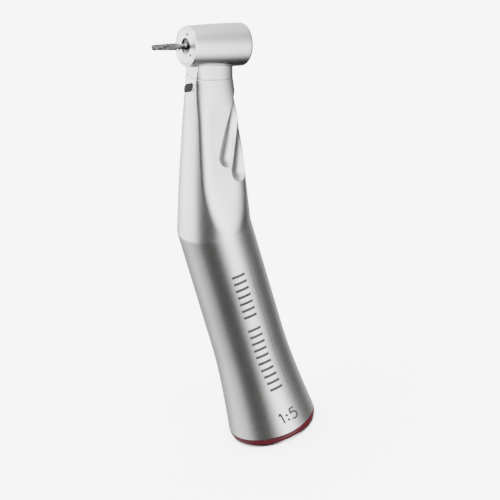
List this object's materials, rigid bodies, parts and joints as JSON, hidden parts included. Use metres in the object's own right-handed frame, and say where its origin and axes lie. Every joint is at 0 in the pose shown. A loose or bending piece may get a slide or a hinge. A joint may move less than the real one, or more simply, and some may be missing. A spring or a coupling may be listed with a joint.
{
  "type": "dental contra-angle handpiece",
  "caption": "Angled steel dental handpiece with a step-up gear train, push-button chuck with a tapered bur, spray face, light window and motor socket.",
  "frame": {"origin": "centre of the rear face, at the mouth of the motor socket", "axes": "+Z along the body's axis towards the head, +X the way the neck leans, +Y across; the bur points to -X and up"},
  "size_m": [0.0311, 0.02, 0.102],
  "materials": {
    "satin_steel": "bead-blasted satin",
    "polished_steel": "polished",
    "dark_steel": "hardened, ground",
    "red_enamel": "satin enamel",
    "lens_glass": "polished, dark when unlit",
    "brass": "turned",
    "seal_rubber": "moulded",
    "diamond_grit": "plated diamond grit",
    "tube_steel": "drawn tube",
    "gear_steel": "ground",
    "bearing_steel": "ground and lapped",
    "cage_polymer": "machined"
  },
  "bodies": {
    "housing": {"grip_sleeve": "satin_steel", "head_housing": "satin_steel", "spray_plate": "satin_steel", "head_cap": "satin_steel", "button_spring": "polished_steel", "light_window": "lens_glass", "window_bezel": "polished_steel", "light_rod": "lens_glass", "water_tube": "tube_steel", "air_tube": "tube_steel", "ratio_ring": "red_enamel", "coupling_sleeve": "satin_steel", "media_block": "brass", "shaft_carrier": "brass", "neck_carrier": "brass", "index_pin": "polished_steel", "front_damping_ring": "seal_rubber", "rear_damping_ring": "seal_rubber", "rear_bearing_seat": "brass", "preload_washer": "polished_steel", "body_rear_outer_race": "bearing_steel", "body_front_outer_race": "bearing_steel", "neck_rear_outer_race": "bearing_steel", "neck_front_outer_race": "bearing_steel", "head_rear_outer_race": "bearing_steel", "head_front_outer_race": "bearing_steel"},
    "rear_shaft": {"rear_shaft": "gear_steel", "bell_gear": "gear_steel", "drive_dog": "dark_steel", "dog_pin": "polished_steel", "body_rear_inner_race": "bearing_steel", "body_front_inner_race": "bearing_steel"},
    "front_shaft": {"front_shaft": "gear_steel", "drive_pinion": "gear_steel", "crown_gear": "gear_steel", "neck_rear_inner_race": "bearing_steel", "neck_front_inner_race": "bearing_steel"},
    "spindle": {"spindle": "dark_steel", "collet_spring": "polished_steel", "head_front_inner_race": "bearing_steel", "head_rear_inner_race": "bearing_steel"},
    "collet": {"chuck_collet": "dark_steel"},
    "bur": {"bur_shank": "polished_steel", "bur_diamond": "diamond_grit"},
    "button": {"push_button": "satin_steel"},
    "body_rear_cage": {"body_rear_balls": "bearing_steel", "body_rear_cage": "cage_polymer"},
    "body_front_cage": {"body_front_balls": "bearing_steel", "body_front_cage": "cage_polymer"},
    "neck_rear_cage": {"neck_rear_balls": "bearing_steel", "neck_rear_cage": "cage_polymer"},
    "neck_front_cage": {"neck_front_balls": "bearing_steel", "neck_front_cage": "cage_polymer"},
    "head_rear_cage": {"head_rear_balls": "bearing_steel", "head_rear_cage": "cage_polymer"},
    "head_front_cage": {"head_front_balls": "bearing_steel", "head_front_cage": "cage_polymer"}
  },
  "joints": [
    {"name": "rear_shaft_spin", "type": "hinge", "parent": "housing", "child": "rear_shaft", "pos_m": [0, 0, 0.04], "axis": [0, 0, 1], "continuous": true},
    {"name": "front_shaft_spin", "type": "hinge", "parent": "housing", "child": "front_shaft", "pos_m": [0.01113, 0, 0.09553], "axis": [0.2192, 0, 0.9757], "continuous": true},
    {"name": "spindle_spin", "type": "hinge", "parent": "housing", "child": "spindle", "pos_m": [0.01113, 0, 0.09553], "axis": [0.9063, 0, -0.4226], "continuous": true},
    {"name": "button_press", "type": "slide", "parent": "housing", "child": "button", "axis": [-0.9063, 0, 0.4226], "range_m": [0, 0.0007], "stiffness_N_per_m": 3000, "springref_m": -0.0005, "deforming": ["button_spring"]},
    {"name": "collet_slide", "type": "slide", "parent": "spindle", "child": "collet", "axis": [-0.9063, 0, 0.4226], "range_m": [0, 0.00045], "deforming": ["collet_spring"]},
    {"name": "bur_withdraw", "type": "slide", "parent": "spindle", "child": "bur", "axis": [-0.9063, 0, 0.4226], "range_m": [0, 0.0125]},
    {"name": "body_rear_cage_orbit", "type": "hinge", "parent": "housing", "child": "body_rear_cage", "pos_m": [0, 0, 0.04], "axis": [0, 0, 1], "continuous": true},
    {"name": "body_front_cage_orbit", "type": "hinge", "parent": "housing", "child": "body_front_cage", "pos_m": [0, 0, 0.04], "axis": [0, 0, 1], "continuous": true},
    {"name": "neck_rear_cage_orbit", "type": "hinge", "parent": "housing", "child": "neck_rear_cage", "pos_m": [0.01113, 0, 0.09553], "axis": [0.2192, 0, 0.9757], "continuous": true},
    {"name": "neck_front_cage_orbit", "type": "hinge", "parent": "housing", "child": "neck_front_cage", "pos_m": [0.01113, 0, 0.09553], "axis": [0.2192, 0, 0.9757], "continuous": true},
    {"name": "head_rear_cage_orbit", "type": "hinge", "parent": "housing", "child": "head_rear_cage", "pos_m": [0.01113, 0, 0.09553], "axis": [0.9063, 0, -0.4226], "continuous": true},
    {"name": "head_front_cage_orbit", "type": "hinge", "parent": "housing", "child": "head_front_cage", "pos_m": [0.01113, 0, 0.09553], "axis": [0.9063, 0, -0.4226], "continuous": true}
  ],
  "couplings": [
    {"joint": "front_shaft_spin", "follows": "rear_shaft_spin", "ratio": 2.5},
    {"joint": "spindle_spin", "follows": "rear_shaft_spin", "ratio": 5},
    {"joint": "collet_slide", "follows": "button_press", "ratio": 0.6},
    {"joint": "body_rear_cage_orbit", "follows": "rear_shaft_spin", "ratio": 0.3846},
    {"joint": "body_front_cage_orbit", "follows": "rear_shaft_spin", "ratio": 0.3846},
    {"joint": "neck_rear_cage_orbit", "follows": "rear_shaft_spin", "ratio": 0.9615},
    {"joint": "neck_front_cage_orbit", "follows": "rear_shaft_spin", "ratio": 0.9167},
    {"joint": "head_rear_cage_orbit", "follows": "rear_shaft_spin", "ratio": 2},
    {"joint": "head_front_cage_orbit", "follows": "rear_shaft_spin", "ratio": 2}
  ]
}
